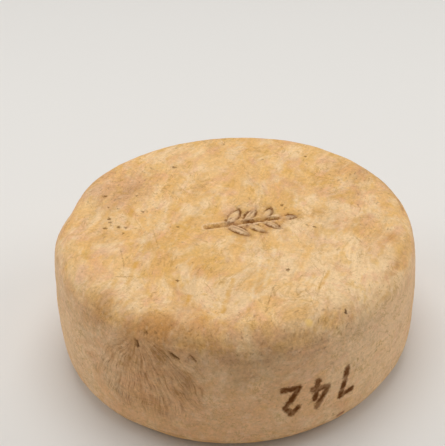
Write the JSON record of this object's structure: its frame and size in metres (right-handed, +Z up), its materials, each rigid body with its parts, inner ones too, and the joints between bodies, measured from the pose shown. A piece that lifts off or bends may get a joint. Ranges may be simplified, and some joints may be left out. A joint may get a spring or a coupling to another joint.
{
  "type": "cheese wheel",
  "caption": "Whole uncut wheel of hard sheep's milk cheese with a dry golden rind, a bulging heel, rounded edges and one sagged shoulder.",
  "frame": {"origin": "middle of the flat foot, on the axis of the hoop that the wheel was pressed in", "axes": "+Z up through the wheel, +X roughly towards its thin side, -Y towards the side with the gathered cloth folds and the batch mark"},
  "size_m": [0.2517, 0.2472, 0.1034],
  "materials": {
    "rind": "dry natural cheese rind, matte with a faint waxy sheen"
  },
  "bodies": {
    "root": {"cheese_wheel": "rind"}
  },
  "joints": []
}
